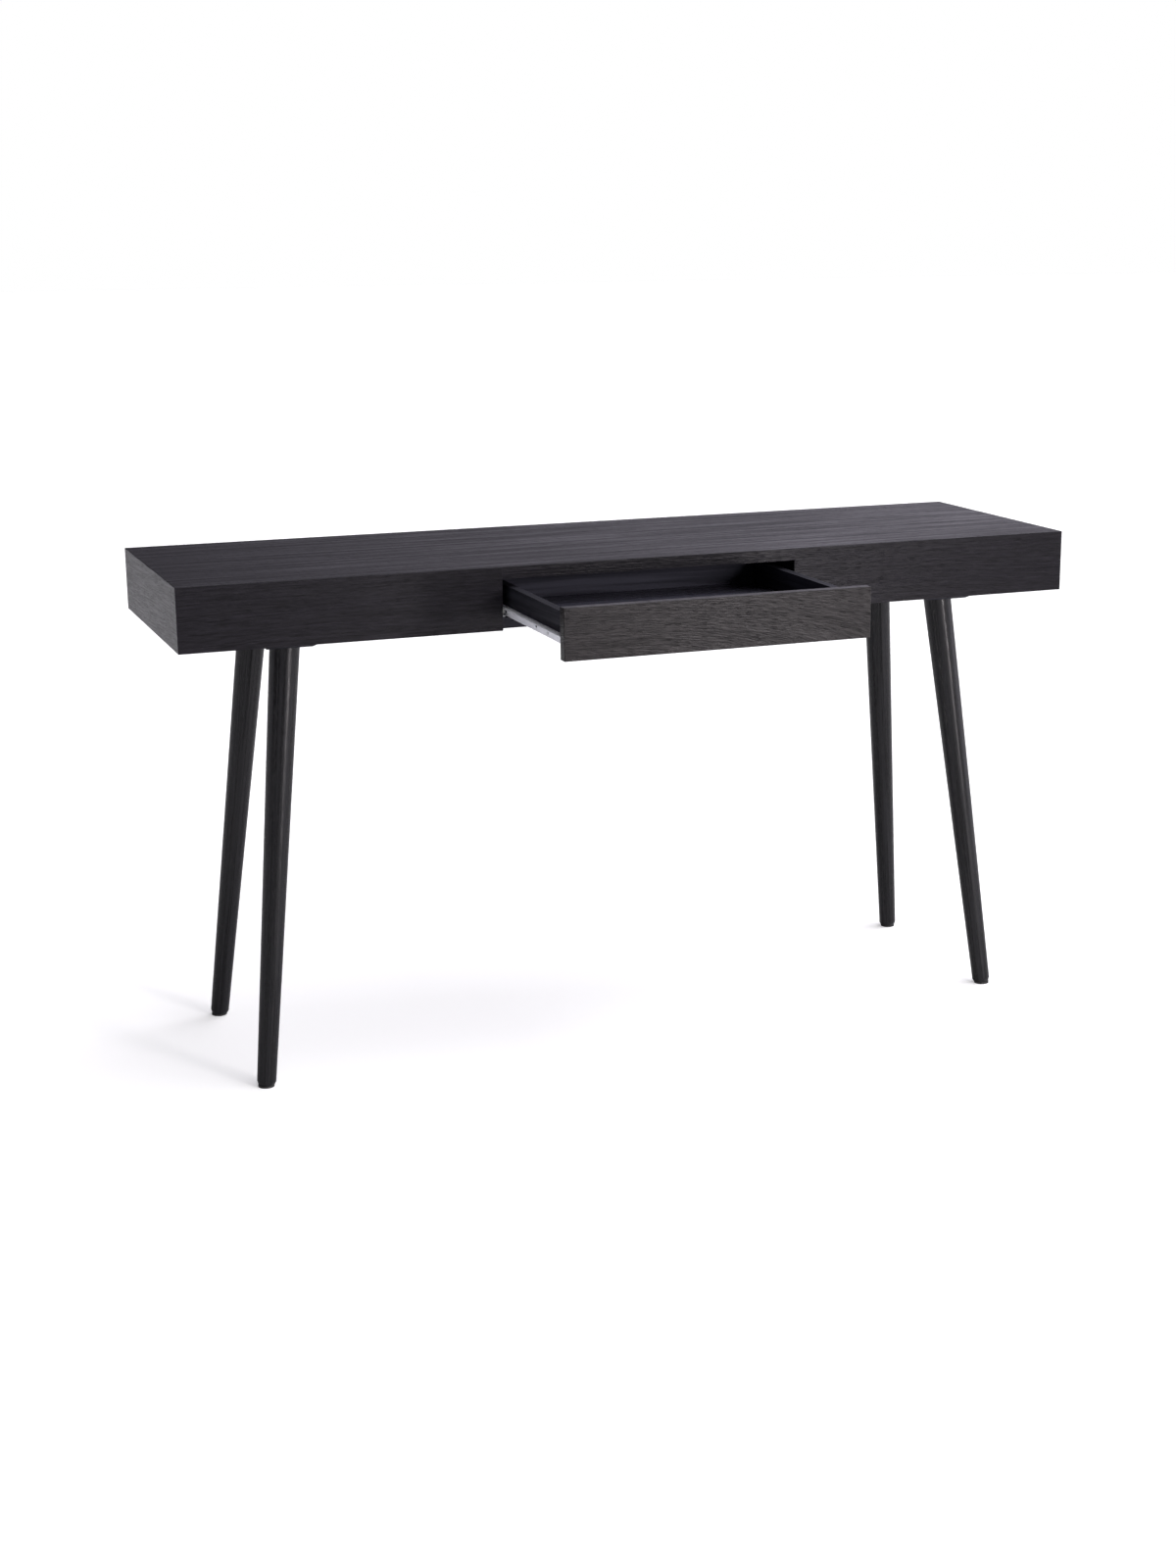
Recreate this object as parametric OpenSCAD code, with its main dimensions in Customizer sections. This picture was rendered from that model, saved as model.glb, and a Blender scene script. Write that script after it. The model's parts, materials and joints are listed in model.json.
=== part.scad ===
// Console table: a hollow mitred box top with one drawer, on four splayed round legs.
// X runs along the table, Y from its front (-Y) to its back (+Y), Z up from the floor.
// The origin is on the floor, straight below the centre of the table top.
// The drawer is drawn pulled out by drawer_open; it slides back along +Y to close.

/* [Table] */
// Overall length of the box top
table_w = 1400; // [1100:10:1800]
// Depth of the box top from front face to back face
table_d = 400; // [360:5:520]
// Height of the table top above the floor
table_h = 750; // [600:5:900]

/* [Box top] */
// Height of the box, from its underside to the table top
box_h = 93; // [84:1:140]
// Thickness of the mitred veneered boards round the box
panel_t = 18; // [14:0.5:24]
// Thickness of the bottom board between the mitred boards
bottom_t = 16; // [12:0.5:20]
// Thickness of the two uprights that carry the drawer runners
partition_t = 16; // [12:0.5:24]
// Width of the small chamfer on every outer edge
arris = 0.6; // [0.2:0.1:1.5]
// Leg length of the triangular glue blocks behind the mitres
glue_block = 22; // [12:1:28]
// Length of one glue block
glue_block_len = 60; // [30:5:90]
// Length of box edge that each glue block holds
glue_block_pitch = 140; // [100:10:190]

/* [Drawer] */
// Width of the drawer opening in the front
opening_w = 464; // [300:1:640]
// Gap between the drawer front and the boards round it
front_gap = 1.5; // [1:0.5:3]
// Room behind the closed drawer front for its bumpers
bumper_room = 2; // [1:0.5:4]
// Least gap between the closed drawer and the back board
back_gap = 5; // [3:1:20]
// Thickness of the drawer sides, back and inner front
side_t = 12; // [9:0.5:16]
// Gap between the drawer sides and the underside of the top
side_drop = 13; // [4:1:16]
// Thickness of the drawer bottom
drawer_bottom_t = 4; // [3:0.5:6]
// Height of the groove for the drawer bottom above the lower edge of the sides
groove_lift = 5; // [4:0.5:8]
// Depth of the groove
groove_depth = 6; // [4:0.5:7]
// Diameter of the dowels that join the drawer box
dowel_d = 6; // [4:1:8]

/* [Runners] */
// Gap between drawer side and upright that holds one runner
runner_gap = 12.7; // [12.5:0.1:14]
// Thickness of the runner sheet steel
sheet_t = 1.2; // [1:0.1:1.4]
// Length of runner that stays in the box when the drawer is fully out
runner_overlap = 95; // [80:5:120]
// Diameter of the nylon rollers
roller_d = 12; // [11:0.5:13]
// Diameter of the rivets that the rollers turn on
rivet_d = 4; // [3:0.5:5]

/* [Legs] */
// Leg diameter where it meets the box
leg_top_d = 44; // [32:1:54]
// Leg diameter at the floor
leg_foot_d = 28; // [20:1:36]
// Distance from the end of the box to the leg centre at the top
leg_top_in_x = 171; // [120:1:200]
// Distance from the front of the box to the leg centre at the top
leg_top_in_y = 96; // [80:1:120]
// Distance from the end of the box to the leg centre at the floor
leg_foot_in_x = 100; // [30:1:170]
// Distance from the front of the box to the leg centre at the floor
leg_foot_in_y = 33; // [20:1:90]
// Side of the square mounting block above each leg
block_w = 82; // [74:1:100]
// Thickness of the mounting block
block_t = 14; // [12:0.5:22]
// Thickness of the plastic glide under each foot
glide_t = 3; // [2:0.5:6]

/* [Hidden] */

$fn = 64;

LEFT = -1;
RIGHT = 1;
FRONT = -1;
BACK = 1;

// Box levels and inner faces
box_z = table_h - box_h;
ceiling_z = table_h - panel_t;
floor_z = box_z + bottom_t;
inner_x = table_w / 2 - panel_t;
inner_y = table_d / 2 - panel_t;

// Clearances
bumper_gap = 0.2;
bumper_t = bumper_room - bumper_gap;
bumper_d = 8;
roll_gap = 0.3;
rivet_fit = 0.05;
roller_side_room = 2.7;

// Runner channel, measured up from the lower edge of the drawer side
roller_r = roller_d / 2;
channel_floor = -0.8;
roller_axis = channel_floor + roll_gap + roller_r;
track_under = roller_axis + roller_r + roll_gap;
track_top = track_under + sheet_t;
channel_ceiling = track_top + 0.5;
channel_base = channel_floor - sheet_t;
channel_top = channel_ceiling + sheet_t;

// Runner places across the gap, measured inwards from the upright
web_in = runner_gap - sheet_t;
channel_reach = web_in - 1.1;
track_start = 2 * sheet_t;
screw_head_t = 0.8;
rivet_head_t = 0.5;
rivet_head_d = 6;
face_play = 0.1;
roller_w = runner_gap - 2 * sheet_t - roller_side_room;
roller_front_in = sheet_t + screw_head_t;
roller_rear_in = web_in - screw_head_t - face_play - roller_w;

// Drawer levels; runner_lift keeps the channel clear of the bottom board
runner_lift = 1;
side_z = floor_z + runner_lift - channel_base;
side_top_z = ceiling_z - side_drop;
tray_z = side_z + groove_lift;
tray_top_z = tray_z + drawer_bottom_t;
front_low_z = box_z + 0.5;
front_high_z = ceiling_z - front_gap;

// Runners come in steps of 50; the drawer takes the longest that fits
runner_step = 50;
front_t = panel_t - bumper_room;
runner_len = runner_step * floor((2 * inner_y - bumper_room - back_gap) / runner_step);
drawer_len = runner_len;
drawer_open = runner_len - runner_overlap;

// Drawer widths and its place along Y when it is closed
half_opening = opening_w / 2;
side_out_x = half_opening - runner_gap;
side_in_x = side_out_x - side_t;
front_half = half_opening - front_gap;
front_y = -table_d / 2;
side_y = front_y + front_t;
back_end_y = side_y + drawer_len;
runner_y = front_y + panel_t + bumper_room;

// Rollers and the stop that ends the travel
roller_inset = 9;
front_roller_y = runner_y + roller_inset;
rear_roller_y = back_end_y - roller_inset;
stop_h = 2.5;
stop_reach = sqrt(pow(roller_r, 2) - pow(roller_r - stop_h - roll_gap, 2));
stop_y = rear_roller_y - drawer_open - stop_reach - roll_gap;

// Screws
screw_d = 4;
screw_head_d = 8;
front_head_t = 2;
runner_screw_d = 3;
runner_head_d = 6;
screw_depth_in_bottom = bottom_t - 4;
confirmat_d = 5;
confirmat_len = 40;
front_screw_x = [for (share = [-0.75, -0.25, 0.25, 0.75]) side_in_x * share];
runner_screw_at = [20, 77, runner_len - 50];
runner_slot_at = [128, runner_len - 90];

// Legs: axis from the floor to the underside of the box
leg_top = [table_w / 2 - leg_top_in_x, table_d / 2 - leg_top_in_y, box_z];
leg_foot = [table_w / 2 - leg_foot_in_x, table_d / 2 - leg_foot_in_y, 0];
leg_run = leg_top - leg_foot;
leg_len = norm(leg_run);
leg_lean = acos(leg_run[2] / leg_len);
leg_taper = (leg_top_d - leg_foot_d) / 2 / leg_len;
block_z = box_z - block_t;
block_at = leg_foot + leg_run * (block_z / box_z);
block_chamfer_in = 8;
block_chamfer_up = 5;
block_screw_at = block_w / 2 - 13;
bolt_d = 8;
bolt_in_leg = 45;
insert_d = 11;
leg_over = 30;
foot_slope = 0.4;
foot_chamfer_h = 3;
foot_turned_at = glide_t / cos(leg_lean) + leg_foot_d / 2 * tan(leg_lean) + foot_chamfer_h;
foot_turned_r = leg_foot_d / 2 + leg_taper * foot_turned_at;
glide_d = leg_foot_d - 4;
nail_d = 3;
nail_len = 18;

oak = [0.13, 0.125, 0.13];
board = [0.10, 0.10, 0.105];
leg_black = [0.09, 0.09, 0.10];
raw_wood = [0.72, 0.58, 0.40];
runner_white = [0.82, 0.82, 0.86];
nylon = [0.90, 0.90, 0.88];
zinc = [0.70, 0.71, 0.73];
rubber = [0.80, 0.82, 0.84];
plastic = [0.05, 0.05, 0.05];

// ---- helpers -------------------------------------------------------------

// Draws its children on the right, or mirrored on the left
module on_side(side) {
    if (side == LEFT) mirror([1, 0, 0]) children();
    else children();
}

// Draws its children, made for the right back corner, at any corner
module at_corner(side, end) {
    on_side(side)
        if (end == FRONT) mirror([0, 1, 0]) children();
        else children();
}

// Moves drawer pieces from the closed place to where the drawer stands open
module pulled_out() {
    translate([0, -drawer_open, 0]) children();
}

// Box from one corner to the other
module span(low, high) {
    translate(low) cube(high - low);
}

// Rectangle with small chamfers on its four corners
module chamfered(low, high, c) {
    polygon([
        [low[0] + c, low[1]], [high[0] - c, low[1]], [high[0], low[1] + c],
        [high[0], high[1] - c], [high[0] - c, high[1]], [low[0] + c, high[1]],
        [low[0], high[1] - c], [low[0], low[1] + c]]);
}

// Board with a small chamfer along all twelve edges
module eased_board(low, high, c) {
    intersection() {
        translate([0, 0, low[2]]) linear_extrude(high[2] - low[2])
            chamfered([low[0], low[1]], [high[0], high[1]], c);
        translate([0, high[1], 0]) rotate([90, 0, 0]) linear_extrude(high[1] - low[1])
            chamfered([low[0], low[2]], [high[0], high[2]], c);
        translate([low[0], 0, 0]) rotate([90, 0, 90]) linear_extrude(high[0] - low[0])
            chamfered([low[1], low[2]], [high[1], high[2]], c);
    }
}

// Whole outside of the box top, which every mitred board is cut from
module box_outside() {
    eased_board([-table_w / 2, -table_d / 2, box_z], [table_w / 2, table_d / 2, table_h], arris);
}

// Prism along X that holds everything nearest to the back face, mitred to the top
module back_zone(length) {
    rotate([90, 0, 90]) translate([0, 0, -length / 2]) linear_extrude(length)
        polygon([
            [table_d / 2, box_z], [table_d / 2, table_h],
            [inner_y, ceiling_z], [inner_y, box_z]]);
}

// Prism along Z that holds everything nearest to the back face, mitred to the ends
module back_plan() {
    translate([0, 0, box_z]) linear_extrude(box_h)
        polygon([
            [-table_w / 2, table_d / 2], [table_w / 2, table_d / 2],
            [inner_x, inner_y], [-inner_x, inner_y]]);
}

// Long mitred board at the back; the front boards are cut from its mirror image
module long_board() {
    intersection() {
        box_outside();
        back_zone(table_w);
        back_plan();
    }
}

// Screw with a flat countersunk head, head face at the origin, pointing up
module countersunk(shank_d, head_d, length) {
    cylinder(h = (head_d - shank_d) / 2, d1 = head_d, d2 = shank_d);
    cylinder(h = length, d = shank_d);
}

// Screw with a low round head, head face at the origin, pointing up
module low_head(head_d, head_t, shank_d, length) {
    cylinder(h = head_t, d = head_d);
    cylinder(h = head_t + length, d = shank_d);
}

// Screw, drawn by its children, with a cross recess cut in its head face
module cross_driven(head_d, depth) {
    slot_w = head_d * 0.15;
    slot_l = head_d * 0.6;
    difference() {
        children();
        for (turn = [0, 90]) rotate([0, 0, turn])
            translate([-slot_l / 2, -slot_w / 2, -1]) cube([slot_l, slot_w, depth + 1]);
    }
}

// Runs its children along the leg axis, with the origin at height z on that axis
module on_leg_axis(z) {
    translate(leg_foot + leg_run * (z / box_z))
        rotate(a = leg_lean, v = [-leg_run[1], leg_run[0], 0]) children();
}

// ---- box top -------------------------------------------------------------

module top_panel() {
    color(oak) intersection() {
        box_outside();
        rotate([90, 0, 0]) translate([0, 0, -table_d / 2]) linear_extrude(table_d)
            polygon([
                [-table_w / 2, table_h], [table_w / 2, table_h],
                [inner_x, ceiling_z], [-inner_x, ceiling_z]]);
        rotate([90, 0, 90]) translate([0, 0, -table_w / 2]) linear_extrude(table_w)
            polygon([
                [-table_d / 2, table_h], [table_d / 2, table_h],
                [inner_y, ceiling_z], [-inner_y, ceiling_z]]);
    }
}

module fascia(side) {
    color(oak) on_side(side) intersection() {
        mirror([0, 1, 0]) long_board();
        span([half_opening, -table_d / 2, box_z], [table_w / 2, -inner_y, table_h]);
    }
}

// Lipping over the drawer opening, between the two front boards
module drawer_lintel() {
    color(oak) intersection() {
        mirror([0, 1, 0]) long_board();
        span([-half_opening, -table_d / 2, ceiling_z], [half_opening, -inner_y, table_h]);
    }
}

module end_panel(side) {
    color(oak) on_side(side) intersection() {
        box_outside();
        rotate([90, 0, 0]) translate([0, 0, -table_d / 2]) linear_extrude(table_d)
            polygon([
                [table_w / 2, box_z], [table_w / 2, table_h],
                [inner_x, ceiling_z], [inner_x, box_z]]);
        translate([0, 0, box_z]) linear_extrude(box_h)
            polygon([
                [table_w / 2, -table_d / 2], [table_w / 2, table_d / 2],
                [inner_x, inner_y], [inner_x, -inner_y]]);
    }
}

module back_panel() {
    color(oak) long_board();
}

// Places of the screws that tie the uprights to the bottom board
module at_confirmats() {
    for (side = [LEFT, RIGHT], y = [-inner_y + 50, 0, inner_y - 50])
        translate([side * (half_opening + partition_t / 2), y, box_z]) children();
}

module confirmat() {
    countersunk(confirmat_d, screw_head_d, confirmat_len);
}

// Places of the screws that hold the four mounting blocks up against the bottom board
module at_block_screws() {
    for (side = [LEFT, RIGHT], end = [FRONT, BACK]) at_corner(side, end)
        for (dx = [-block_screw_at, block_screw_at], dy = [-block_screw_at, block_screw_at])
            translate([block_at[0] + dx, block_at[1] + dy, block_z]) children();
}

module block_screw() {
    countersunk(screw_d, screw_head_d, block_t + screw_depth_in_bottom);
}

module bottom_panel() {
    color(board) difference() {
        span([-inner_x, -inner_y, box_z], [inner_x, inner_y, floor_z]);
        at_confirmats() confirmat();
        at_block_screws() block_screw();
    }
}

// Places of the screws that hold the fixed runner to the upright on the right
module at_cabinet_screws() {
    for (at = runner_screw_at)
        translate([half_opening - sheet_t - screw_head_t, runner_y + at, side_z + roller_axis])
            rotate([0, 90, 0]) children();
}

module cabinet_screw() {
    low_head(runner_head_d, screw_head_t, runner_screw_d, sheet_t + partition_t - 3);
}

module partition(side) {
    color(board) difference() {
        on_side(side) difference() {
            span([half_opening, -inner_y, floor_z],
                 [half_opening + partition_t, inner_y, ceiling_z]);
            at_cabinet_screws() cabinet_screw();
        }
        at_confirmats() confirmat();
    }
}

module partition_screws() {
    color(zinc) at_confirmats() cross_driven(screw_head_d, 1.2) confirmat();
}

// Glue blocks in the corner between the top and the long boards, clear of the uprights
module glue_blocks() {
    bay_start = half_opening + partition_t;
    bay = inner_x - bay_start;
    count = floor(bay / glue_block_pitch);
    color(raw_wood)
        for (side = [LEFT, RIGHT], end = [FRONT, BACK], i = [0 : count - 1])
            at_corner(side, end)
                translate([bay_start + bay * (i + 0.5) / count - glue_block_len / 2, inner_y, ceiling_z])
                    rotate([90, 0, 90]) linear_extrude(glue_block_len)
                        polygon([[0, 0], [-glue_block, 0], [0, -glue_block]]);
}

// ---- runners -------------------------------------------------------------

// Bent sheet: outline drawn inwards (u) and upwards (v) from the upright's face
module runner_sheet(start, length) {
    translate([half_opening, start + length, side_z]) rotate([90, 0, 0])
        mirror([1, 0, 0]) linear_extrude(length) children();
}

// Round piece across the runner gap, from u to u + length, on a roller's axis
module across_gap(y, u, length, d) {
    translate([half_opening - u, y, side_z + roller_axis]) rotate([0, -90, 0])
        cylinder(h = length, d = d);
}

module cabinet_runner(side) {
    color(runner_white) on_side(side) difference() {
        union() {
            runner_sheet(runner_y, runner_len) polygon([
                [0, channel_base], [channel_reach, channel_base],
                [channel_reach, channel_floor], [sheet_t, channel_floor],
                [sheet_t, channel_ceiling], [channel_reach, channel_ceiling],
                [channel_reach, channel_top], [0, channel_top]]);
            // stop that the rear roller meets when the drawer is fully out
            runner_sheet(stop_y - sheet_t, sheet_t) polygon([
                [sheet_t, channel_floor], [channel_reach, channel_floor],
                [channel_reach, channel_floor + stop_h], [sheet_t, channel_floor + stop_h]]);
        }
        across_gap(front_roller_y, 0, sheet_t, rivet_d);
        at_cabinet_screws() cabinet_screw();
    }
}

module cabinet_runner_screws() {
    color(zinc) for (side = [LEFT, RIGHT]) on_side(side)
        at_cabinet_screws() cross_driven(runner_head_d, 0.5) cabinet_screw();
}

module front_roller_rivets() {
    color(zinc) for (side = [LEFT, RIGHT]) on_side(side) {
        head_in = roller_front_in + roller_w + face_play;
        across_gap(front_roller_y, 0, head_in + rivet_head_t, rivet_d);
        across_gap(front_roller_y, sheet_t, screw_head_t - face_play, rivet_head_d);
        across_gap(front_roller_y, head_in, rivet_head_t, rivet_head_d);
    }
}

// Nylon roller with a running bore and a shallow groove in each face
module roller(y, u) {
    face_groove = 0.6;
    difference() {
        across_gap(y, u, roller_w, roller_d);
        across_gap(y, u - 1, roller_w + 2, rivet_d + 2 * rivet_fit);
        for (at = [u, u + roller_w - face_groove]) difference() {
            across_gap(y, at, face_groove, roller_d - 2);
            across_gap(y, at - 1, face_groove + 2, rivet_head_d);
        }
    }
}

module front_roller(side) {
    color(nylon) on_side(side) roller(front_roller_y, roller_front_in);
}

// Places of the screws that hold the drawer runner to the drawer side on the right
module at_drawer_screws() {
    for (at = runner_screw_at)
        translate([side_out_x + sheet_t + screw_head_t, side_y + at, side_z + roller_axis])
            rotate([0, -90, 0]) children();
}

// Short screw that ends before the groove for the drawer bottom
module drawer_screw() {
    low_head(runner_head_d, screw_head_t, runner_screw_d, sheet_t + side_t - groove_depth - 0.5);
}

module drawer_runner(side) {
    slot_len = 8;
    color(runner_white) pulled_out() on_side(side) difference() {
        runner_sheet(side_y, runner_len) polygon([
            [track_start, track_under], [web_in, track_under], [web_in, -sheet_t],
            [runner_gap + side_t, -sheet_t], [runner_gap + side_t, 0], [runner_gap, 0],
            [runner_gap, track_top], [track_start, track_top]]);
        for (at = runner_slot_at, end = [-0.5, 0.5])
            across_gap(side_y + at + end * slot_len / 2, web_in - 1, sheet_t + 2, screw_d);
        for (at = runner_slot_at)
            span([side_out_x - 1, side_y + at - slot_len / 4, side_z + roller_axis - screw_d / 2],
                 [side_out_x + sheet_t + 1, side_y + at + slot_len / 4,
                  side_z + roller_axis + screw_d / 2]);
        across_gap(rear_roller_y, web_in, sheet_t, rivet_d);
        at_drawer_screws() drawer_screw();
    }
}

module drawer_runner_screws() {
    color(zinc) pulled_out() for (side = [LEFT, RIGHT]) on_side(side)
        at_drawer_screws() cross_driven(runner_head_d, 0.5) drawer_screw();
}

module rear_roller_rivets() {
    head_in = roller_rear_in - face_play - rivet_head_t;
    color(zinc) pulled_out() for (side = [LEFT, RIGHT]) on_side(side) {
        across_gap(rear_roller_y, head_in, runner_gap - head_in, rivet_d);
        across_gap(rear_roller_y, head_in, rivet_head_t, rivet_head_d);
        across_gap(rear_roller_y, web_in - screw_head_t, screw_head_t, rivet_head_d);
    }
}

module rear_roller(side) {
    color(nylon) pulled_out() on_side(side) roller(rear_roller_y, roller_rear_in);
}

// ---- drawer --------------------------------------------------------------

// Places of the screws from the inner front into the drawer front, drawer closed
module at_front_screws() {
    for (x = front_screw_x)
        translate([x, side_y + side_t + front_head_t, (tray_top_z + side_top_z) / 2])
            rotate([90, 0, 0]) children();
}

module front_screw() {
    low_head(screw_head_d, front_head_t, screw_d, side_t + front_t - 4);
}

// Dowels and bores at the four corners of the drawer box, drawer closed
module dowel_group() {
    in_side = side_t - 3;
    in_end = 16;
    rise = (side_top_z - tray_top_z) / 4;
    for (side = [LEFT, RIGHT], y = [side_y + side_t / 2, back_end_y - side_t / 2])
        for (z = [tray_top_z + rise, side_top_z - rise]) on_side(side)
            translate([side_in_x - in_end, y, z]) rotate([0, 90, 0])
                cylinder(h = in_end + in_side, d = dowel_d);
}

// Bumpers on the drawer front, which meet the bottom board's front edge
module bumper_group() {
    for (x = [-front_half * 0.8, front_half * 0.8])
        translate([x, side_y + bumper_t, box_z + bottom_t / 2]) rotate([90, 0, 0])
            cylinder(h = bumper_t, d = bumper_d);
}

module drawer_front() {
    color(oak) pulled_out() difference() {
        eased_board([-front_half, front_y, front_low_z], [front_half, side_y, front_high_z], arris);
        at_front_screws() front_screw();
    }
}

// Groove round the drawer box that takes the drawer bottom
module tray_groove() {
    span([-side_in_x - groove_depth, side_y + side_t - groove_depth, tray_z],
         [side_in_x + groove_depth, back_end_y + 1, tray_top_z]);
}

module drawer_inner_front() {
    color(board) pulled_out() difference() {
        span([-side_in_x, side_y, side_z], [side_in_x, side_y + side_t, side_top_z]);
        tray_groove();
        at_front_screws() front_screw();
        dowel_group();
    }
}

module drawer_side(side) {
    color(board) pulled_out() difference() {
        on_side(side) difference() {
            span([side_in_x, side_y, side_z], [side_out_x, back_end_y, side_top_z]);
            at_drawer_screws() drawer_screw();
        }
        tray_groove();
        dowel_group();
    }
}

module drawer_back() {
    color(board) pulled_out() difference() {
        span([-side_in_x, back_end_y - side_t, tray_top_z], [side_in_x, back_end_y, side_top_z]);
        dowel_group();
    }
}

module drawer_bottom() {
    edge_gap = 0.5;
    color(board) pulled_out()
        span([-side_in_x - groove_depth + edge_gap, side_y + side_t - groove_depth + edge_gap, tray_z],
             [side_in_x + groove_depth - edge_gap, back_end_y, tray_top_z]);
}

module drawer_dowels() {
    color(raw_wood) pulled_out() dowel_group();
}

module drawer_front_screws() {
    color(zinc) pulled_out() at_front_screws() cross_driven(screw_head_d, 1.2) front_screw();
}

module drawer_bumpers() {
    color(rubber) pulled_out() bumper_group();
}

// ---- legs ----------------------------------------------------------------

// Slab of the whole table between two heights
module between(low, high) {
    span([-table_w, -table_d, low], [table_w, table_d, high]);
}

// Mounting block with sloped lower edges, bored for its insert and screws
module leg_block(side, end) {
    half = block_w / 2;
    foot = half - block_chamfer_in;
    outline = [
        [-foot, 0], [foot, 0], [half, block_chamfer_up], [half, block_t],
        [-half, block_t], [-half, block_chamfer_up]];
    color(board) difference() {
        at_corner(side, end) difference() {
            translate([block_at[0], block_at[1], block_z]) intersection() {
                rotate([90, 0, 0]) translate([0, 0, -half]) linear_extrude(block_w) polygon(outline);
                rotate([90, 0, 90]) translate([0, 0, -half]) linear_extrude(block_w) polygon(outline);
            }
            on_leg_axis(block_z) translate([0, 0, -20]) cylinder(h = 2 * block_t + 20, d = insert_d);
        }
        at_block_screws() block_screw();
    }
}

module leg_block_screws() {
    color(zinc) at_block_screws() cross_driven(screw_head_d, 1.2) block_screw();
}

// Threaded insert in the mounting block, on the leg's axis
module leg_inserts() {
    color(zinc) for (side = [LEFT, RIGHT], end = [FRONT, BACK]) at_corner(side, end)
        intersection() {
            on_leg_axis(block_z) translate([0, 0, -20]) difference() {
                cylinder(h = 2 * block_t + 20, d = insert_d);
                cylinder(h = 2 * block_t + 20, d = bolt_d);
            }
            between(block_z, box_z);
        }
}

// Hanger bolt, from inside the leg up through the insert
module leg_bolts() {
    color(zinc) for (side = [LEFT, RIGHT], end = [FRONT, BACK]) at_corner(side, end)
        intersection() {
            on_leg_axis(block_z) translate([0, 0, -bolt_in_leg])
                cylinder(h = bolt_in_leg + 2 * block_t, d = bolt_d);
            between(0, box_z);
        }
}

// Leg before its ends are cut level: a long taper with a turned chamfer at the foot
module turned_leg() {
    rotate_extrude() polygon([
        [0, 0],
        [foot_turned_r - foot_slope * foot_turned_at, 0],
        [foot_turned_r, foot_turned_at],
        [leg_top_d / 2 + leg_taper * leg_over, leg_len + leg_over],
        [0, leg_len + leg_over]
    ]);
}

// Tapered leg, cut level at the block and at the glide
module leg(side, end) {
    color(leg_black) at_corner(side, end) difference() {
        intersection() {
            on_leg_axis(0) turned_leg();
            between(glide_t, block_z);
        }
        on_leg_axis(block_z) translate([0, 0, -bolt_in_leg]) cylinder(h = bolt_in_leg + 20, d = bolt_d);
        translate([leg_foot[0], leg_foot[1], 0]) cylinder(h = nail_len, d = nail_d);
    }
}

// Plastic glide with its nail, flat on the floor
module foot_glides() {
    color(plastic) for (side = [LEFT, RIGHT], end = [FRONT, BACK]) at_corner(side, end)
        translate([leg_foot[0], leg_foot[1], 0]) {
            cylinder(h = glide_t, d = glide_d);
            cylinder(h = nail_len, d = nail_d);
        }
}

top_panel();
fascia(LEFT);  // fascia_left
fascia(RIGHT);  // fascia_right
drawer_lintel();
end_panel(LEFT);  // end_panel_left
end_panel(RIGHT);  // end_panel_right
back_panel();
bottom_panel();
partition(LEFT);  // partition_left
partition(RIGHT);  // partition_right
partition_screws();
glue_blocks();
cabinet_runner(LEFT);  // cabinet_runner_left
cabinet_runner(RIGHT);  // cabinet_runner_right
cabinet_runner_screws();
front_roller_rivets();
front_roller(LEFT);  // front_roller_left
front_roller(RIGHT);  // front_roller_right
drawer_front();
drawer_inner_front();
drawer_side(LEFT);  // drawer_side_left
drawer_side(RIGHT);  // drawer_side_right
drawer_back();
drawer_bottom();
drawer_dowels();
drawer_front_screws();
drawer_bumpers();
drawer_runner(LEFT);  // drawer_runner_left
drawer_runner(RIGHT);  // drawer_runner_right
drawer_runner_screws();
rear_roller_rivets();
rear_roller(LEFT);  // rear_roller_left
rear_roller(RIGHT);  // rear_roller_right
leg_block(LEFT, FRONT);  // leg_block_front_left
leg_block(RIGHT, FRONT);  // leg_block_front_right
leg_block(LEFT, BACK);  // leg_block_back_left
leg_block(RIGHT, BACK);  // leg_block_back_right
leg_block_screws();
leg_inserts();
leg_bolts();
leg(LEFT, FRONT);  // leg_front_left
leg(RIGHT, FRONT);  // leg_front_right
leg(LEFT, BACK);  // leg_back_left
leg(RIGHT, BACK);  // leg_back_right
foot_glides();
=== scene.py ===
"""Looks of the console table: black-stained oak box top with an open drawer, on four round legs.

Every length is in metres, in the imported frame: X along the table, Y from front to back, Z up from the floor.
"""

import json
import math

import bpy
from mathutils import Matrix, Vector


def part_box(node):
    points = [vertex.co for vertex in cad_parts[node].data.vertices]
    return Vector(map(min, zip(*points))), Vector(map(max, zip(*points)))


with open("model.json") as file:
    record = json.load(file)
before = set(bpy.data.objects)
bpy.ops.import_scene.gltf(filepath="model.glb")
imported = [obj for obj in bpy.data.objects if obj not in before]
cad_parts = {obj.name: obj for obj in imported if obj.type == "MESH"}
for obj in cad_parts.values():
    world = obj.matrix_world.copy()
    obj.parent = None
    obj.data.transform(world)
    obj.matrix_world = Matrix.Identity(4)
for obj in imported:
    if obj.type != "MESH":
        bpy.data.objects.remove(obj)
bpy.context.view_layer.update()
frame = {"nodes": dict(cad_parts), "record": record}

NODES = frame["nodes"]
CORNERS = ("front_left", "front_right", "back_left", "back_right")

# turn of a pattern whose grain runs along that axis of the table
GRAIN_X = (0, 0, 0)
GRAIN_Y = (0, 0, math.radians(90))

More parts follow.
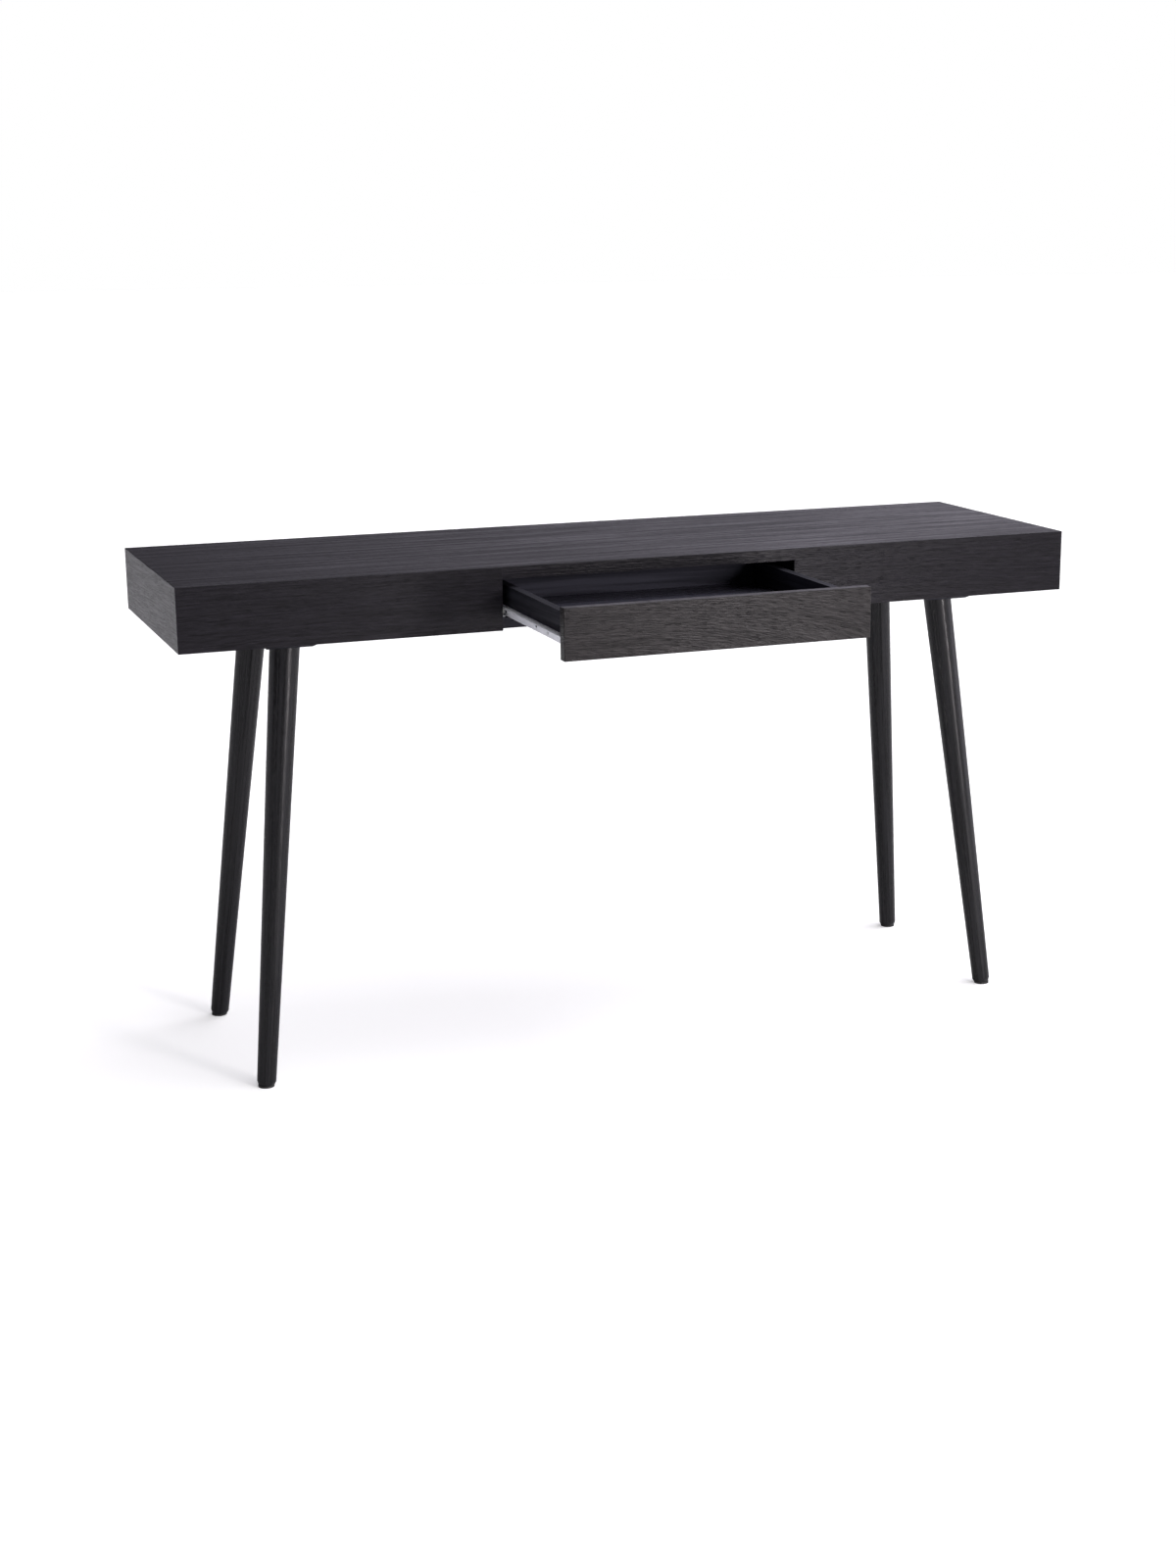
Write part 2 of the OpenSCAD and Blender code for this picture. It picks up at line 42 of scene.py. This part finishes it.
# linear colours: the dark and the light of each material's pattern
BLACK_OAK = ((0.0032, 0.0029, 0.0038), (0.0195, 0.0178, 0.0225))
# the drawer front's oak: partly a warmer stretch of veneer, partly painted light, lighter in its dark than the
# black oak for the light on the open drawer
WARM_OAK_AND_PAINTED_LIGHT = ((0.0044, 0.0038, 0.0041), (0.0200, 0.0172, 0.0180))
# painted light: the black oak made lighter, for the light falling on the left end of the table
PAINTED_LIGHT_OAK = ((0.0110, 0.0104, 0.0135), (0.0350, 0.0330, 0.0420))
BOARD_BLACK = ((0.0080, 0.0080, 0.0105), (0.0240, 0.0238, 0.0310))
# painted light: the black board made half again lighter, for the light on the drawer's sides
DRAWER_SIDE_PAINTED_LIGHT = ((0.0120, 0.0120, 0.0158), (0.0360, 0.0357, 0.0465))
# painted light: the drawer's inner front and back, a black board made grey for the light reaching into the
# drawer
LINING_PAINTED_LIGHT = ((0.030, 0.0305, 0.042), (0.080, 0.0810, 0.108))
# painted light: the drawer's bottom, a black board made grey for the light falling into the drawer
DRAWER_FLOOR_PAINTED_LIGHT = ((0.045, 0.0445, 0.062), (0.105, 0.1030, 0.138))
LEG_BLACK = ((0.0030, 0.0030, 0.0035), (0.0150, 0.0150, 0.0170))
ENAMEL_GREY = ((0.80, 0.81, 0.85), (0.88, 0.89, 0.93))
SCUFFED_ENAMEL = (0.34, 0.34, 0.36)
BARE_STEEL = (0.22, 0.22, 0.23)
ZINC = ((0.52, 0.53, 0.56), (0.78, 0.79, 0.80))
NYLON = ((0.62, 0.62, 0.58), (0.74, 0.74, 0.70))
CLEAR_RUBBER = ((0.55, 0.57, 0.60), (0.70, 0.72, 0.74))
BLACK_PLASTIC = ((0.012, 0.012, 0.012), (0.022, 0.022, 0.022))
BEECH = ((0.42, 0.26, 0.14), (0.60, 0.42, 0.25))
BEECH_FLECK = (0.24, 0.13, 0.07)
FLOOR_WHITE = ((0.80, 0.80, 0.80), (0.82, 0.82, 0.82))

# depths of the surface relief
PORE_DEPTH = 0.00022
EMBOSS_DEPTH = 0.00008
PEEL_DEPTH = 0.00004
BRUSH_DEPTH = 0.00002
SKIN_DEPTH = 0.00003
BEECH_DEPTH = 0.0001

# how far wear reaches in from a sharp edge
RUBBED_WOOD = 0.0012
WORN_ENAMEL = 0.0006


# ---- node trees -----------------------------------------------------------


class Nodes:
    """A node tree, with short calls for the nodes that the materials and the world share."""

    def __init__(self, tree):
        self.tree = tree

    def add(self, kind, inputs=None, **settings):
        """A new node; inputs are numbers, colours or the outputs that feed them, by socket name or index."""
        node = self.tree.nodes.new(kind)
        for name, value in settings.items():
            setattr(node, name, value)
        for socket, value in (inputs or {}).items():
            self.feed(node.inputs[socket], value)
        return node

    def feed(self, socket, value):
        if isinstance(value, bpy.types.NodeSocket):
            self.tree.links.new(value, socket)
        else:
            socket.default_value = value

    def calc(self, operation, a, b=0.0):
        return self.add("ShaderNodeMath", {0: a, 1: b}, operation=operation).outputs[0]

    def plus(self, a, b):
        return self.calc("ADD", a, b)

    def minus(self, a, b):
        return self.calc("SUBTRACT", a, b)

    def times(self, a, b):
        return self.calc("MULTIPLY", a, b)

    def vectors(self, operation, a, b, output="Vector"):
        return self.add("ShaderNodeVectorMath", {0: a, 1: b}, operation=operation).outputs[output]

    def spread(self, value, low, high, to_low=0.0, to_high=1.0):
        """value's stretch from low to high becomes to_low to to_high, smoothly and clamped."""
        return self.add(
            "ShaderNodeMapRange",
            {"Value": value, "From Min": low, "From Max": high, "To Min": to_low, "To Max": to_high},
            interpolation_type="SMOOTHSTEP",
        ).outputs[0]


class Surface(Nodes):
    """A new material's node tree, with calls for its patterns and its shader."""

    def __init__(self, name):
        self.material = bpy.data.materials.new(name)
        self.material.use_nodes = True
        super().__init__(self.material.node_tree)
        self.shader = self.tree.nodes["Principled BSDF"]

    def set(self, **values):
        """Sets the shader's own sockets; an underscore in a name stands for a space."""
        for name, value in values.items():
            self.feed(self.shader.inputs[name.replace("_", " ")], value)

    def coordinates(self, turn=(0, 0, 0), shift=(0, 0, 0)):
        """Object coordinates, turned so that the grain runs along X, then shifted along the pattern."""
        place = self.add("ShaderNodeTexCoord").outputs["Object"]
        turned = self.add("ShaderNodeMapping", {0: place, "Rotation": turn}, vector_type="TEXTURE")
        return self.vectors("ADD", turned.outputs[0], shift)

    def noise(self, place, scale, detail=2.0, roughness=0.5):
        """Noise from 0 to 1 about 0.5; scale is its features per metre along each axis."""
        return self.add(
            "ShaderNodeTexNoise",
            {
                "Vector": self.vectors("MULTIPLY", place, scale),
                "Scale": 1.0,
                "Detail": detail,
                "Roughness": roughness,
            },
        ).outputs[0]

    def blend(self, share, a, b):
        """Colour a turning into colour b as share goes from 0 to 1."""
        node = self.add("ShaderNodeMix", {0: share}, data_type="RGBA")
        for socket, colour in ((node.inputs[6], a), (node.inputs[7], b)):
            self.feed(socket, colour if isinstance(colour, bpy.types.NodeSocket) else (*colour, 1.0))
        return node.outputs[2]

    def bump(self, height, distance, strength):
        inputs = {"Height": height, "Distance": distance, "Strength": strength}
        return self.add("ShaderNodeBump", inputs).outputs[0]

    def edge(self, radius):
        """1 on the sharp edges of a piece, within radius of them, and 0 on its flats."""
        rounded = self.add("ShaderNodeBevel", {"Radius": radius}, samples=4).outputs[0]
        flat = self.add("ShaderNodeNewGeometry").outputs["Normal"]
        agreement = self.vectors("DOT_PRODUCT", rounded, flat, "Value")
        return self.spread(self.minus(1.0, agreement), 0.02, 0.25)


def shade(colour, share):
    return tuple(share * channel for channel in colour)


# ---- materials ------------------------------------------------------------


def ring_space(g, place, heart):
    """Coordinates in a log: along the grain, out from its heart, and 0.

    heart is where the log's middle runs: across, above, and its lean per metre along the grain.
    A flat face cuts through these rings, so it shows arched figure.
    """
    across, above, lean = heart
    axes = g.add("ShaderNodeSeparateXYZ", {0: place}).outputs
    aside = g.minus(g.minus(axes["Y"], across), g.times(axes["X"], lean))
    up = g.minus(axes["Z"], above)
    radius = g.calc("SQRT", g.plus(g.times(aside, aside), g.times(up, up)))
    sway = g.minus(g.noise(place, (2.2, 9, 9), detail=1.5), 0.5)
    radius = g.plus(radius, g.times(sway, 0.014))
    return g.add("ShaderNodeCombineXYZ", {"X": axes["X"], "Y": radius}).outputs[0]


def oak_veneer(name, turn, colours, roughness, specular, shift, heart, streak):
    """Stained open-grain oak: growth bands, fibres, and short pores sunk in the finish.

    streak, from 0 to 1, is how much the broad dark streaks show.
    """
    dark, light = colours
    g = Surface(name)
    log = g.vectors("ADD", ring_space(g, g.coordinates(turn), heart), shift)
    bands = g.noise(log, (9, 450, 0), roughness=0.6)
    flecks = g.noise(log, (38, 640, 0), detail=1.0)
    broad = g.noise(log, (2.6, 85, 0), detail=4.0, roughness=0.6)
    fibres = g.noise(log, (26, 1500, 0), roughness=0.65)
    pores = g.noise(log, (75, 2300, 0), detail=0.0)

    band_tone = g.times(g.spread(bands, 0.34, 0.66), 0.35)
    fleck_tone = g.times(g.spread(flecks, 0.32, 0.68), 0.40)
    tone = g.plus(g.plus(band_tone, fleck_tone), g.times(fibres, 0.25))
    tone = g.times(tone, g.spread(broad, 0.32, 0.68, 1.0 - 0.5 * streak, 1.0))
    # pores are fainter in the light part of each band
    dashes = g.times(g.spread(pores, 0.58, 0.72), g.spread(bands, 0.62, 0.40, 0.25, 1.0))

    colour = g.blend(tone, dark, light)
    colour = g.blend(g.times(dashes, 0.6), colour, shade(dark, 0.4))
    colour = g.blend(g.times(g.edge(RUBBED_WOOD), 0.35), colour, shade(light, 2.2))
    rough = g.spread(tone, 0.0, 1.0, roughness + 0.05, roughness - 0.04)
    rough = g.plus(rough, g.times(dashes, 0.2))
    rough = g.plus(rough, g.spread(broad, 0.35, 0.65, 0.10 * streak, -0.08 * streak))
    height = g.minus(g.times(tone, 0.8), dashes)
    g.set(Base_Color=colour, Roughness=rough, Normal=g.bump(height, PORE_DEPTH, 0.8))
    g.set(Specular_IOR_Level=specular)
    return g.material


def printed_board(name, turn, shift, colours, roughness=0.66, specular=0.12):
    """Black board faced with a film that is printed and lightly embossed with wood grain."""
    dark, light = colours
    g = Surface(name)
    place = g.coordinates(turn, shift)
    sway = g.times(g.minus(g.noise(place, (1.5, 9, 9), detail=1.0), 0.5), 0.03)
    sideways = g.add("ShaderNodeCombineXYZ", {"Y": sway, "Z": sway}).outputs[0]
    bent = g.vectors("ADD", place, sideways)
    bands = g.spread(g.noise(bent, (2.2, 110, 110), detail=3.0, roughness=0.55), 0.38, 0.64)
    fibres = g.noise(bent, (25, 700, 700), detail=1.0)
    tone = g.plus(g.times(bands, 0.7), g.times(fibres, 0.3))
    rough = g.spread(tone, 0.0, 1.0, roughness + 0.06, roughness - 0.06)
    g.set(Base_Color=g.blend(tone, dark, light), Roughness=rough, Normal=g.bump(tone, EMBOSS_DEPTH, 0.6))
    g.set(Specular_IOR_Level=specular)
    return g.material


def leg_wood(name, axis):
    """Turned leg in black satin lacquer, with the grain just showing along its axis."""
    g = Surface(name)
    turn = Vector((1, 0, 0)).rotation_difference(axis).to_euler("XYZ")
    place = g.coordinates(turn)
    streaks = g.noise(place, (2.5, 260, 260), detail=3.0, roughness=0.6)
    fibres = g.noise(place, (20, 1200, 1200), detail=1.0)
    pores = g.spread(g.noise(place, (70, 2400, 2400), detail=0.0), 0.60, 0.70)
    tone = g.plus(g.times(g.spread(streaks, 0.35, 0.65), 0.7), g.times(fibres, 0.3))
    rough = g.plus(g.spread(streaks, 0.35, 0.65, 0.22, 0.40), g.times(pores, 0.15))
    height = g.minus(g.times(tone, 0.5), pores)
    g.set(Base_Color=g.blend(tone, *LEG_BLACK), Roughness=rough, Normal=g.bump(height, PORE_DEPTH, 0.8))
    g.set(Specular_IOR_Level=0.18, Coat_Weight=0.06, Coat_Roughness=0.18)
    return g.material


def enamel(name):
    """Pale grey baked enamel on the runner steel, with orange peel, and steel showing at its edges."""
    g = Surface(name)
    place = g.coordinates()
    peel = g.noise(place, (900, 900, 900), detail=1.0)
    clouds = g.noise(place, (14, 40, 40), detail=3.0)
    scuffs = g.spread(g.noise(place, (1500, 22, 1500), detail=1.0), 0.66, 0.72)
    worn = g.times(g.edge(WORN_ENAMEL), g.spread(clouds, 0.45, 0.65))
    colour = g.blend(g.spread(clouds, 0.3, 0.7), *ENAMEL_GREY)
    colour = g.blend(g.times(scuffs, 0.35), colour, SCUFFED_ENAMEL)
    colour = g.blend(g.times(worn, 0.6), colour, BARE_STEEL)
    rough = g.plus(g.spread(clouds, 0.3, 0.7, 0.30, 0.42), g.times(scuffs, 0.15))
    g.set(Base_Color=colour, Roughness=rough, Normal=g.bump(peel, PEEL_DEPTH, 0.5))
    g.set(Coat_Weight=0.2, Coat_Roughness=0.15)
    return g.material


def zinc_steel(name):
    """Bright zinc plate: mottled and lightly brushed."""
    g = Surface(name)
    place = g.coordinates()
    mottle = g.noise(place, (420, 420, 420), detail=3.0, roughness=0.65)
    brush = g.noise(place, (300, 5000, 5000), detail=1.0)
    colour = g.blend(g.spread(mottle, 0.3, 0.7), *ZINC)
    rough = g.plus(g.spread(mottle, 0.3, 0.7, 0.40, 0.24), g.times(brush, 0.08))
    g.set(Base_Color=colour, Roughness=rough, Normal=g.bump(brush, BRUSH_DEPTH, 0.4))
    g.set(Metallic=1.0)
    return g.material


def moulded(name, colours, roughness):
    """Moulded plastic or rubber with a fine matt skin and faint smudges."""
    g = Surface(name)
    place = g.coordinates()
    skin = g.noise(place, (2400, 2400, 2400), detail=1.0)
    smudge = g.noise(place, (100, 100, 100), detail=3.0)
    colour = g.blend(g.spread(smudge, 0.3, 0.7), *colours)
    rough = g.spread(smudge, 0.3, 0.7, roughness + 0.08, roughness - 0.06)
    g.set(Base_Color=colour, Roughness=rough, Normal=g.bump(skin, SKIN_DEPTH, 0.5))
    return g.material


def raw_beech(name):
    """Bare beech of the glue blocks and dowels, with its short dark flecks."""
    g = Surface(name)
    place = g.coordinates()
    bands = g.noise(place, (4, 130, 130), detail=3.0)
    flecks = g.spread(g.noise(place, (160, 900, 900), detail=0.0), 0.62, 0.70)
    colour = g.blend(g.spread(bands, 0.3, 0.7), *BEECH)
    colour = g.blend(g.times(flecks, 0.5), colour, BEECH_FLECK)
    rough = g.spread(bands, 0.3, 0.7, 0.75, 0.6)
    g.set(Base_Color=colour, Roughness=rough, Normal=g.bump(bands, BEECH_DEPTH, 0.5))
    g.set(Specular_IOR_Level=0.3)
    return g.material


# ---- materials on the CAD nodes -------------------------------------------


def finish_nodes(material, *names):
    for name in names:
        NODES[name].data.materials.clear()
        NODES[name].data.materials.append(material)


def both(name):
    return name + "_left", name + "_right"


def veneer(node, finish, shift, heart, streak):
    """Gives a board its own stretch of veneer: shift places the pattern, heart places the log."""
    finish_nodes(oak_veneer("oak_" + node, shift=shift, heart=heart, streak=streak, **finish), node)


TOP_OAK = {"turn": GRAIN_X, "colours": BLACK_OAK, "roughness": 0.40, "specular": 0.14}
FRONT_OAK = {"turn": GRAIN_X, "colours": BLACK_OAK, "roughness": 0.26, "specular": 0.08}
# the drawer front's colours are partly veneer variation and partly painted light
DRAWER_OAK = {"turn": GRAIN_X, "colours": WARM_OAK_AND_PAINTED_LIGHT, "roughness": 0.30, "specular": 0.115}
# the left end takes the lighter copy of the black oak, with the light on that side painted into it
LEFT_END_OAK = {"turn": GRAIN_Y, "colours": PAINTED_LIGHT_OAK, "roughness": 0.40, "specular": 0.35}
RIGHT_END_OAK = {"turn": GRAIN_Y, "colours": BLACK_OAK, "roughness": 0.40, "specular": 0.20}

veneer("top_panel", TOP_OAK, shift=(0.31, 0.12, 0.0), heart=(0.42, 0.64, 0.03), streak=0.8)
veneer("back_panel", TOP_OAK, shift=(6.20, 0.0, 0.27), heart=(0.26, 0.60, 0.05), streak=0.6)
veneer("fascia_left", FRONT_OAK, shift=(1.70, 0.0, 0.45), heart=(-0.27, 0.58, 0.02), streak=0.5)
veneer("fascia_right", FRONT_OAK, shift=(2.60, 0.3, 0.46), heart=(-0.28, 0.57, -0.03), streak=0.5)
veneer("drawer_lintel", FRONT_OAK, shift=(4.72, 0.0, 0.45), heart=(-0.27, 0.58, 0.02), streak=0.4)
veneer("drawer_front", DRAWER_OAK, shift=(3.90, 0.0, 0.81), heart=(-0.51, 0.61, -0.20), streak=0.25)
veneer("end_panel_left", LEFT_END_OAK, shift=(8.10, 0.3, 0.6), heart=(0.82, 0.55, 0.05), streak=0.1)
veneer("end_panel_right", RIGHT_END_OAK, shift=(9.40, 0.5, 0.2), heart=(-0.82, 0.55, 0.05), streak=0.3)

finish_nodes(
    printed_board("board_long", GRAIN_X, (2.2, 0.4, 0.1), BOARD_BLACK),
    "bottom_panel",
    *["leg_block_" + corner for corner in CORNERS],
)
finish_nodes(printed_board("board_deep", GRAIN_Y, (5.1, 0.2, 0.7), BOARD_BLACK), *both("partition"))
# the drawer sides take a lighter copy of the black board, with painted light
finish_nodes(printed_board("board_side", GRAIN_Y, (5.1, 0.2, 0.7), DRAWER_SIDE_PAINTED_LIGHT), *both("drawer_side"))
# the drawer's inner front and back: grey colours that are painted light on a black board
finish_nodes(
    printed_board("lining_back", GRAIN_X, (3.3, 0.1, 0.5), LINING_PAINTED_LIGHT),
    "drawer_inner_front",
    "drawer_back",
)
# the drawer's bottom: grey colours that are painted light on a black board
finish_nodes(
    printed_board("lining_floor", GRAIN_X, (4.6, 0.9, 0.2), DRAWER_FLOOR_PAINTED_LIGHT, roughness=0.30, specular=0.5),
    "drawer_bottom",
)

finish_nodes(enamel("runner_enamel"), *both("cabinet_runner"), *both("drawer_runner"))
finish_nodes(moulded("nylon", NYLON, 0.38), *both("front_roller"), *both("rear_roller"))
finish_nodes(
    zinc_steel("zinc_steel"),
    "partition_screws",
    "cabinet_runner_screws",
    "front_roller_rivets",
    "drawer_front_screws",
    "drawer_runner_screws",
    "rear_roller_rivets",
    "leg_block_screws",
    "leg_inserts",
    "leg_bolts",
)
finish_nodes(raw_beech("beech"), "glue_blocks", "drawer_dowels")
finish_nodes(moulded("clear_rubber", CLEAR_RUBBER, 0.25), "drawer_bumpers")
finish_nodes(moulded("glide_plastic", BLACK_PLASTIC, 0.5), "foot_glides")

MOUNTS = {mount["name"]: Vector(mount["pos_m"]) for mount in frame["record"]["mounts"]}
for corner in CORNERS:
    low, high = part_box("leg_block_" + corner)
    head = Vector(((low.x + high.x) / 2, (low.y + high.y) / 2, low.z))
    finish_nodes(leg_wood("leg_" + corner, head - MOUNTS["foot_" + corner]), "leg_" + corner)


# ---- floor, light and camera ----------------------------------------------

FLOOR_SIZE = 60.0
FLOOR_FILL = 0.42  # lifts the floor's shadow towards the white backdrop, for the camera only
SENSOR_WIDTH = 36.0  # millimetres
VIOLET = (0.98, 0.93, 1.08)
ROSE = (1.03, 0.97, 0.99)


def pale_floor():
    bpy.ops.mesh.primitive_plane_add(size=FLOOR_SIZE, location=(0, 0, 0))
    floor = bpy.context.object
    floor.name = "floor"
    g = Surface("floor")
    tone = g.noise(g.coordinates(), (0.8, 0.8, 0.8))
    seen = g.add("ShaderNodeLightPath").outputs["Is Camera Ray"]
    g.set(Base_Color=g.blend(tone, *FLOOR_WHITE), Roughness=0.9, Specular_IOR_Level=0.1)
    g.set(Emission_Color=(1, 1, 1, 1), Emission_Strength=g.times(seen, FLOOR_FILL))
    floor.data.materials.append(g.material)


def studio_world(seen, dim, bright, bright_side, tint):
    """The camera sees a plain backdrop; the object is lit by a softer one, brighter towards bright_side."""
    world = bpy.data.worlds.new("studio")
    bpy.context.scene.world = world
    world.use_nodes = True
    g = Nodes(world.node_tree)
    place = g.add("ShaderNodeTexCoord").outputs["Generated"]
    side = g.vectors("DOT_PRODUCT", place, Vector(bright_side).normalized(), "Value")
    strength = g.spread(side, 0.3, 0.9, dim, bright)
    glow = g.add("ShaderNodeBackground", {"Color": (*tint, 1), "Strength": strength}).outputs[0]
    backdrop = g.add("ShaderNodeBackground", {"Color": (seen, seen, seen, 1)}).outputs[0]
    from_camera = g.add("ShaderNodeLightPath").outputs["Is Camera Ray"]
    choice = g.add("ShaderNodeMixShader", {0: from_camera, 1: glow, 2: backdrop}).outputs[0]
    g.feed(world.node_tree.nodes["World Output"].inputs["Surface"], choice)


def aim(light, direction):
    """Turns a light, which shines along its own -Z, to shine along direction."""
    light.rotation_euler = Vector(direction).to_track_quat("-Z", "Y").to_euler()


def skylight(strength, direction, spread_deg):
    light = bpy.data.lights.new("skylight", "SUN")
    light.energy = strength
    light.angle = math.radians(spread_deg)
    holder = bpy.data.objects.new("skylight", light)
    bpy.context.collection.objects.link(holder)
    aim(holder, direction)


def softbox(name, location, target, size, power, colour):
    light = bpy.data.lights.new(name, "AREA")
    light.shape = "RECTANGLE"
    light.size, light.size_y = size
    light.energy = power
    light.color = colour
    holder = bpy.data.objects.new(name, light)
    holder.location = location
    holder.visible_camera = False
    bpy.context.collection.objects.link(holder)
    aim(holder, Vector(target) - holder.location)


def photo_camera(location, yaw_deg, pitch_deg, roll_deg, focal_share, shift):
    """Camera at the reference viewing angle; focal_share is its focal length over the image height."""
    data = bpy.data.cameras.new("camera")
    data.sensor_width = SENSOR_WIDTH
    data.lens = focal_share * SENSOR_WIDTH
    data.shift_x, data.shift_y = shift
    data.clip_start, data.clip_end = 0.05, 200.0
    camera = bpy.data.objects.new("camera", data)
    bpy.context.collection.objects.link(camera)
    turn = (
        Matrix.Rotation(math.radians(-yaw_deg), 4, "Z")
        @ Matrix.Rotation(math.radians(90 - pitch_deg), 4, "X")
        @ Matrix.Rotation(math.radians(roll_deg), 4, "Z")
    )
    camera.matrix_world = Matrix.Translation(location) @ turn
    bpy.context.scene.camera = camera


bpy.context.scene.view_settings.view_transform = "Standard"
pale_floor()
studio_world(seen=1.0, dim=0.08, bright=1.32, bright_side=(0.97, 0.25, 0.1), tint=VIOLET)
skylight(strength=2.9, direction=(-0.60, 0.30, -1.0), spread_deg=70)
softbox("left_box", (-3.2, 0.6, 1.1), (-0.6, 0.0, 0.4), size=(0.3, 2.0), power=4, colour=VIOLET)
softbox("right_box", (3.2, -0.9, 0.9), (0.6, 0.0, 0.4), size=(0.3, 1.8), power=9, colour=VIOLET)
softbox("front_box", (1.65, -4.0, 0.95), (0.15, -0.3, 0.6), size=(0.7, 1.8), power=110, colour=ROSE)
photo_camera(
    location=(-1.260, -3.322, 1.263),
    yaw_deg=22.39,
    pitch_deg=14.35,
    roll_deg=-0.09,
    focal_share=1.4693,
    shift=(-0.0516, 0.0017),
)
